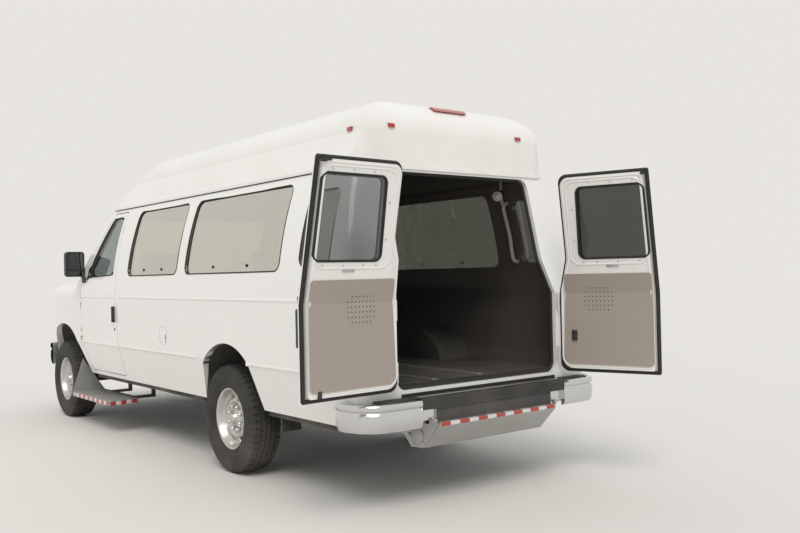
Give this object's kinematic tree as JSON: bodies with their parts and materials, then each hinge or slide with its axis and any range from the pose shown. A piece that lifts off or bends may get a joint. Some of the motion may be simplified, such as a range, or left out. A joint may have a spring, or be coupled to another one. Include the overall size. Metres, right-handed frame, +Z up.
{
  "type": "ambulance",
  "caption": "High-roofed panel-van ambulance with its rear doors open, hinged cab and side doors, a hood, steered front wheels, side steps and a folding rear step.",
  "frame": {"origin": "on the ground, midway between the rear wheels", "axes": "+X forward along the van, +Y to the van's left, +Z up"},
  "size_m": [6.6536, 2.5588, 2.492],
  "materials": {
    "body_white": "gloss",
    "roof_white": "gloss",
    "dark_glass": "gloss",
    "windshield_glass": "gloss",
    "tyre_rubber": "matte",
    "wheel_steel": "satin",
    "chrome": "polished",
    "black_plastic": "matte",
    "frame_black": "matte",
    "axle_iron": "matte",
    "engine_iron": "matte",
    "exhaust_steel": "matte",
    "tank_black": "matte",
    "floor_grey": "satin",
    "step_aluminium": "brushed",
    "step_dark": "matte",
    "lamp_red": "gloss",
    "lamp_clear": "gloss",
    "grille_grey": "satin",
    "dash_grey": "matte",
    "trim_white": "satin",
    "seat_vinyl": "matte",
    "rail_white": "gloss"
  },
  "bodies": {
    "body": {"frame_rails": "frame_black", "frame_crossmembers": "frame_black", "front_axle_beam_left": "axle_iron", "front_axle_beam_right": "axle_iron", "rear_axle": "axle_iron", "engine_block": "engine_iron", "exhaust": "exhaust_steel", "fuel_tank": "tank_black", "floor_pan": "floor_grey", "rear_wheelhouses": "floor_grey", "front_wheelhouses": "floor_grey", "firewall": "floor_grey", "left_side_panel": "body_white", "right_side_panel": "body_white", "front_body": "body_white", "raised_roof": "roof_white", "grille": "grille_grey", "head_lamps": "lamp_clear", "rear_lamps": "lamp_red", "front_bumper": "chrome", "rear_bumper": "chrome", "rear_bumper_pad": "black_plastic", "rear_step": "step_aluminium", "side_step_left": "step_dark", "side_step_right": "step_dark", "windshield": "windshield_glass", "side_glass": "dark_glass", "dashboard": "dash_grey", "steering_wheel": "black_plastic", "driver_seat": "seat_vinyl", "passenger_seat": "seat_vinyl", "grab_rail": "rail_white"},
    "hood": {"hood": "body_white"},
    "front_door_left": {"front_door_left": "body_white", "front_door_glass_left": "windshield_glass", "mirror_left": "black_plastic"},
    "front_door_right": {"front_door_right": "body_white", "front_door_glass_right": "windshield_glass", "mirror_right": "black_plastic"},
    "side_door_front": {"side_door_front": "body_white", "side_door_front_glass": "dark_glass"},
    "side_door_rear": {"side_door_rear": "body_white", "side_door_rear_glass": "dark_glass"},
    "rear_door_left": {"rear_door_left": "body_white", "rear_door_glass_left": "dark_glass", "rear_door_trim_left": "trim_white"},
    "rear_door_right": {"rear_door_right": "body_white", "rear_door_glass_right": "dark_glass", "rear_door_trim_right": "trim_white"},
    "knuckle_left": {"knuckle_left": "axle_iron"},
    "knuckle_right": {"knuckle_right": "axle_iron"},
    "wheel_front_left": {"rim_front_left": "wheel_steel", "tyre_front_left": "tyre_rubber"},
    "wheel_front_right": {"rim_front_right": "wheel_steel", "tyre_front_right": "tyre_rubber"},
    "wheel_rear_left": {"rim_rear_left": "wheel_steel", "tyre_rear_left": "tyre_rubber"},
    "wheel_rear_right": {"rim_rear_right": "wheel_steel", "tyre_rear_right": "tyre_rubber"}
  },
  "joints": [
    {"name": "hood_hinge", "type": "hinge", "parent": "body", "child": "hood", "pos_m": [3.2435, 0, 1.4065], "axis": [0, -1, 0], "range_deg": [0, 55]},
    {"name": "front_door_left_hinge", "type": "hinge", "parent": "body", "child": "front_door_left", "pos_m": [2.9515, 1.014, 1.02], "axis": [0, 0, 1], "range_deg": [-70, 0]},
    {"name": "front_door_right_hinge", "type": "hinge", "parent": "body", "child": "front_door_right", "pos_m": [2.9515, -1.014, 1.02], "axis": [0, 0, 1], "range_deg": [0, 70]},
    {"name": "side_door_front_hinge", "type": "hinge", "parent": "body", "child": "side_door_front", "pos_m": [1.9215, -1.023, 0.98], "axis": [0, 0, 1], "range_deg": [0, 90]},
    {"name": "side_door_rear_hinge", "type": "hinge", "parent": "body", "child": "side_door_rear", "pos_m": [0.8135, -1.023, 0.98], "axis": [0, 0, 1], "range_deg": [-90, 0]},
    {"name": "rear_door_left_hinge", "type": "hinge", "parent": "body", "child": "rear_door_left", "pos_m": [-1.595, 0.7, 0.98], "axis": [0, 0, 1], "range_deg": [0, 176]},
    {"name": "rear_door_right_hinge", "type": "hinge", "parent": "body", "child": "rear_door_right", "pos_m": [-1.595, -0.7, 0.98], "axis": [0, 0, 1], "range_deg": [-108, 68]},
    {"name": "steer_left", "type": "hinge", "parent": "body", "child": "knuckle_left", "pos_m": [3.505, 0.7975, 0.38], "axis": [0, 0, 1], "range_deg": [-33, 33]},
    {"name": "steer_right", "type": "hinge", "parent": "body", "child": "knuckle_right", "pos_m": [3.505, -0.7975, 0.38], "axis": [0, 0, 1], "range_deg": [-33, 33]},
    {"name": "wheel_front_left_spin", "type": "hinge", "parent": "knuckle_left", "child": "wheel_front_left", "pos_m": [3.505, 0.8815, 0.38], "axis": [0, 1, 0], "continuous": true},
    {"name": "wheel_front_right_spin", "type": "hinge", "parent": "knuckle_right", "child": "wheel_front_right", "pos_m": [3.505, -0.8815, 0.38], "axis": [0, 1, 0], "continuous": true},
    {"name": "wheel_rear_left_spin", "type": "hinge", "parent": "body", "child": "wheel_rear_left", "pos_m": [0, 0.8535, 0.38], "axis": [0, 1, 0], "continuous": true},
    {"name": "wheel_rear_right_spin", "type": "hinge", "parent": "body", "child": "wheel_rear_right", "pos_m": [0, -0.8535, 0.38], "axis": [0, 1, 0], "continuous": true}
  ],
  "couplings": [
    {"joint": "steer_right", "follows": "steer_left", "ratio": 1}
  ]
}
